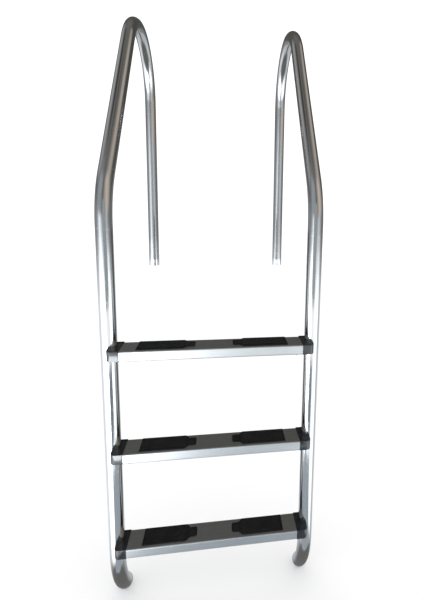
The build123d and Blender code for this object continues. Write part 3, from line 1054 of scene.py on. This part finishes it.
# Each wall colour stands at a turn to the right, in degrees
ROOM_LOW = (
    (-180, (0.55, 0.58, 0.62)),
    (-150, (0.80, 0.86, 0.92)),
    (-128, (1.10, 1.17, 1.24)),
    (-96, (1.05, 1.12, 1.20)),
    (-76, (2.00, 2.10, 2.20)),
    (-58, (3.60, 3.80, 4.00)),
    (-27, (3.60, 3.80, 4.00)),
    (-13, (2.20, 2.40, 2.60)),
    (0, (1.60, 1.75, 1.90)),
    (40, (1.90, 2.05, 2.20)),
    (53, (2.80, 2.95, 3.10)),
    (68, (2.20, 2.30, 2.40)),
    (82, (1.10, 1.16, 1.22)),
    (100, (0.60, 0.64, 0.68)),
    (120, (0.90, 0.96, 1.02)),
    (150, (0.75, 0.80, 0.85)),
    (180, (0.55, 0.58, 0.62)),
)
ROOM_MIDDLE = (
    (-180, (0.30, 0.31, 0.32)),
    (-110, (0.34, 0.36, 0.38)),
    (-85, (0.36, 0.38, 0.41)),
    (-60, (0.62, 0.67, 0.72)),
    (-45, (1.40, 1.50, 1.60)),
    (-30, (1.30, 1.40, 1.50)),
    (-12, (0.70, 0.75, 0.80)),
    (8, (0.42, 0.46, 0.50)),
    (34, (0.85, 0.90, 0.94)),
    (60, (0.60, 0.62, 0.63)),
    (84, (0.26, 0.27, 0.28)),
    (120, (0.20, 0.21, 0.22)),
    (180, (0.30, 0.31, 0.32)),
)
ROOM_HIGH = (
    (-180, (0.100, 0.100, 0.090)),
    (-125, (0.140, 0.145, 0.145)),
    (-95, (0.220, 0.235, 0.250)),
    (-60, (0.440, 0.490, 0.545)),
    (-20, (0.400, 0.440, 0.480)),
    (0, (0.150, 0.150, 0.150)),
    (22, (0.480, 0.430, 0.385)),
    (50, (0.820, 0.735, 0.650)),
    (80, (0.620, 0.560, 0.500)),
    (105, (0.180, 0.165, 0.150)),
    (135, (0.090, 0.090, 0.082)),
    (180, (0.100, 0.100, 0.090)),
)
ROOM_UP = (0.200, 0.196, 0.186, 1.0)
ROOM_DOWN = (0.190, 0.190, 0.188, 1.0)
# Elevations in degrees at which a part of the room begins and is complete
MIDDLE_FROM = (-15, -6)
HIGH_FROM = (4, 13)
UP_FROM = (50, 72)
DOWN_FROM = (-40, -56)
ROOM_PATCHES = (
    # turn to the right, elevation, full radius and faded radius in degrees, colour
    (100, 50, 7, 19, (0.600, 0.540, 0.480)),
    (-86, 66, 4, 12, (0.060, 0.058, 0.055)),
    (-116, 38, 8, 22, (0.480, 0.485, 0.490)),
    (10, 80, 2, 8, (0.120, 0.118, 0.110)),
)
PERSON_BEFORE_RISERS = 0.72
PERSON_LEFT = -0.26
PERSON_RIGHT = 0.40
KNEES = 0.36
BELT = 0.62
HEAD_TOP = 1.45
BODY_BLUE = (0.440, 0.500, 0.530)
THIGHS_BLUE = (1.500, 1.590, 1.640)
SHINS_BLUE = (0.240, 0.290, 0.340)
CARD_LIFT = 0.001
FLOOR_CARDS = (
    # name, left, right, nearest and furthest before the risers, colour
    # A dim panel on the floor between the risers and the person, which mirrors see darker than the bright
    # room round it
    ("dim_floor_patch", -0.30, 0.42, 0.06, 0.58, (0.480, 0.550, 0.620)),
    ("sunlit_floor", -1.30, -0.38, 0.64, 1.90, (12.0, 13.0, 13.8)),
)
FLAG_NEAR = 0.08
FLAG_FAR = 0.38
FLAG_TOP = 0.98
FLAG_GREY = (0.130, 0.138, 0.145)


def toward(turn, elevation):
    """A direction turned to the right of the view from the ladder's front, in degrees."""
    t, e = math.radians(turn), math.radians(elevation)
    return math.sin(t) * math.cos(e), -math.cos(t) * math.cos(e), math.sin(e)


def sine_of(degrees):
    """The height of a direction at this elevation."""
    return math.sin(math.radians(degrees))


def walls(tree, turn, stops):
    """Colours round the room by the turn from the view, which runs from 0 to 1. A new ramp
    already has two stops, which take the first two colours."""
    ramp = put(tree, "ValToRGB", None, Fac=turn)
    elements = ramp.color_ramp.elements
    for index, (degrees, colour) in enumerate(stops):
        place = degrees / 360 + 0.5
        stop = elements[index] if index < 2 else elements.new(place)
        stop.position = place
        stop.color = (*colour, 1.0)
    return ramp.outputs["Color"]


def studio_room():
    """The world: white to the eye and to matt surfaces. To mirrors it is the low walls, which
    give way to the other walls, the ceiling and the floor as the direction's height changes,
    with round patches where the cosine of the angle from a direction is high."""
    room = bpy.data.worlds.new("studio_room")
    room.use_nodes = True
    tree = room.node_tree
    direction = put(tree, "TexCoord").outputs["Generated"]
    parts = put(tree, "SeparateXYZ", None, Vector=direction)
    height = parts.outputs["Z"]
    ahead = maths(tree, "MULTIPLY", parts.outputs["Y"], -1.0)
    turn = spread(tree, maths(tree, "ARCTAN2", parts.outputs["X"], ahead), (-math.pi, math.pi))
    seen = walls(tree, turn, ROOM_LOW)
    for limits, colour in (
        (MIDDLE_FROM, walls(tree, turn, ROOM_MIDDLE)),
        (HIGH_FROM, walls(tree, turn, ROOM_HIGH)),
        (UP_FROM, ROOM_UP),
        (DOWN_FROM, ROOM_DOWN),
    ):
        share = spread(tree, height, [sine_of(degrees) for degrees in limits])
        seen = mix_colours(tree, share, seen, colour)
    for degrees, elevation, full, faded, colour in ROOM_PATCHES:
        middle = toward(degrees, elevation)
        aim = put(tree, "VectorMath", {"operation": "DOT_PRODUCT"}, in_0=direction, in_1=middle)
        rim = [math.cos(math.radians(radius)) for radius in (faded, full)]
        seen = mix_colours(tree, spread(tree, aim.outputs["Value"], rim), seen, (*colour, 1.0))
    rays = put(tree, "LightPath")
    matt_or_eye = maths(tree, "MAXIMUM", rays.outputs["Is Diffuse Ray"], rays.outputs["Is Camera Ray"])
    shown = mix_colours(tree, matt_or_eye, seen, (ROOM_WHITE, ROOM_WHITE, ROOM_WHITE, 1.0))
    tree.links.new(shown, tree.nodes["Background"].inputs["Color"])
    room.cycles.sampling_method = "NONE"
    scene.world = room


def studio_floor():
    """A plain square floor at the height of the feet."""
    half = FLOOR_SPAN / 2
    corners = np.array([(-half, -half), (half, -half), (half, half), (-half, half)])
    floor = build("studio_floor", np.column_stack([corners, np.full(4, cad_low.z)]), [[0, 1, 2, 3]])
    material, _, shader = new_finish("floor_pale")
    shader.inputs["Base Color"].default_value = FLOOR_WHITE
    shader.inputs["Roughness"].default_value = 1.0
    shader.inputs["Specular IOR Level"].default_value = 0.0
    floor.data.materials.append(material)
    floor.visible_glossy = False


def studio_card(name, corners, colour):
    """A glowing panel that only mirrors show."""
    card = build(name, corners, [[0, 1, 2, 3]])
    material, tree, _ = new_finish(name + "_glow")
    glow = put(tree, "Emission", None, Color=(*colour, 1.0), Strength=1.0)
    tree.links.new(glow.outputs[0], tree.nodes["Material Output"].inputs["Surface"])
    card.data.materials.append(material)
    card.visible_camera = False
    card.visible_diffuse = False
    card.visible_shadow = False


def upright(x_low, x_high, y, z_low, z_high):
    """The corners of a card that faces the ladder's front."""
    return [(x_low, y, z_low), (x_low, y, z_high), (x_high, y, z_high), (x_high, y, z_low)]


studio_room()
studio_floor()
person_y = riser_y - PERSON_BEFORE_RISERS
for part, foot, head, colour in (
    ("body", BELT, HEAD_TOP, BODY_BLUE),
    ("thighs", KNEES, BELT, THIGHS_BLUE),
    ("shins", 0.0, KNEES, SHINS_BLUE),
):
    studio_card(f"person_{part}", upright(PERSON_LEFT, PERSON_RIGHT, person_y, foot, head), colour)
for name, left, right, near, far, colour in FLOOR_CARDS:
    near_y, far_y = riser_y - near, riser_y - far
    plan = ((left, far_y), (right, far_y), (right, near_y), (left, near_y))
    studio_card(name, [(x, y, CARD_LIFT) for x, y in plan], colour)
near_y, far_y = riser_y + FLAG_NEAR, riser_y + FLAG_FAR
flag = ((near_y, 0.0), (near_y, FLAG_TOP), (far_y, FLAG_TOP), (far_y, 0.0))
studio_card("dark_flag", [(0.0, y, z) for y, z in flag], FLAG_GREY)
scene.view_settings.view_transform = "Standard"
